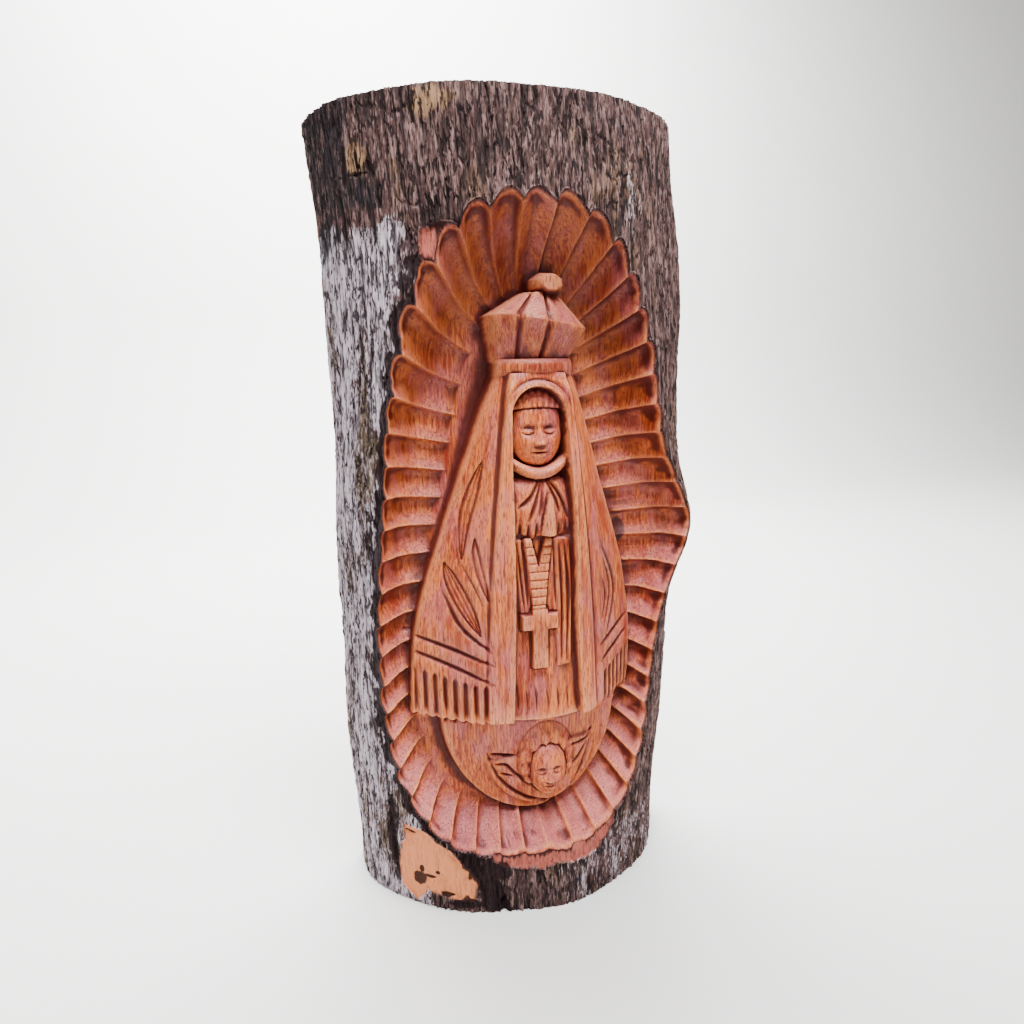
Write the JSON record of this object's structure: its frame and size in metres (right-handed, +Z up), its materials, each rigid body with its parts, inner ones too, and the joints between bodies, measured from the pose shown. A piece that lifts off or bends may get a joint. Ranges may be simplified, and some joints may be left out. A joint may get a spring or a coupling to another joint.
{
  "type": "carved wooden relief of the virgin mary in a half log",
  "caption": "Half log with its bark on, its front carved with a crowned Virgin in a long mantle inside an oval niche of gouged rays, above a winged cherub head",
  "frame": {"origin": "on the flat sawn underside, on the carving's centre line, 50 mm in front of the flat back", "axes": "+Z up along the log, -Y the carved front, +Y the flat back, +X to the viewer's right"},
  "size_m": [0.2628, 0.105, 0.52],
  "materials": {
    "carved_wood": "reddish-brown hardwood, oiled where it is carved, with grey lichen-spotted bark round it, dark stain along the cut bark, one patch of bare wood, end grain above and below and a sawn back"
  },
  "bodies": {
    "root": {"carved_log": "carved_wood"}
  },
  "joints": []
}
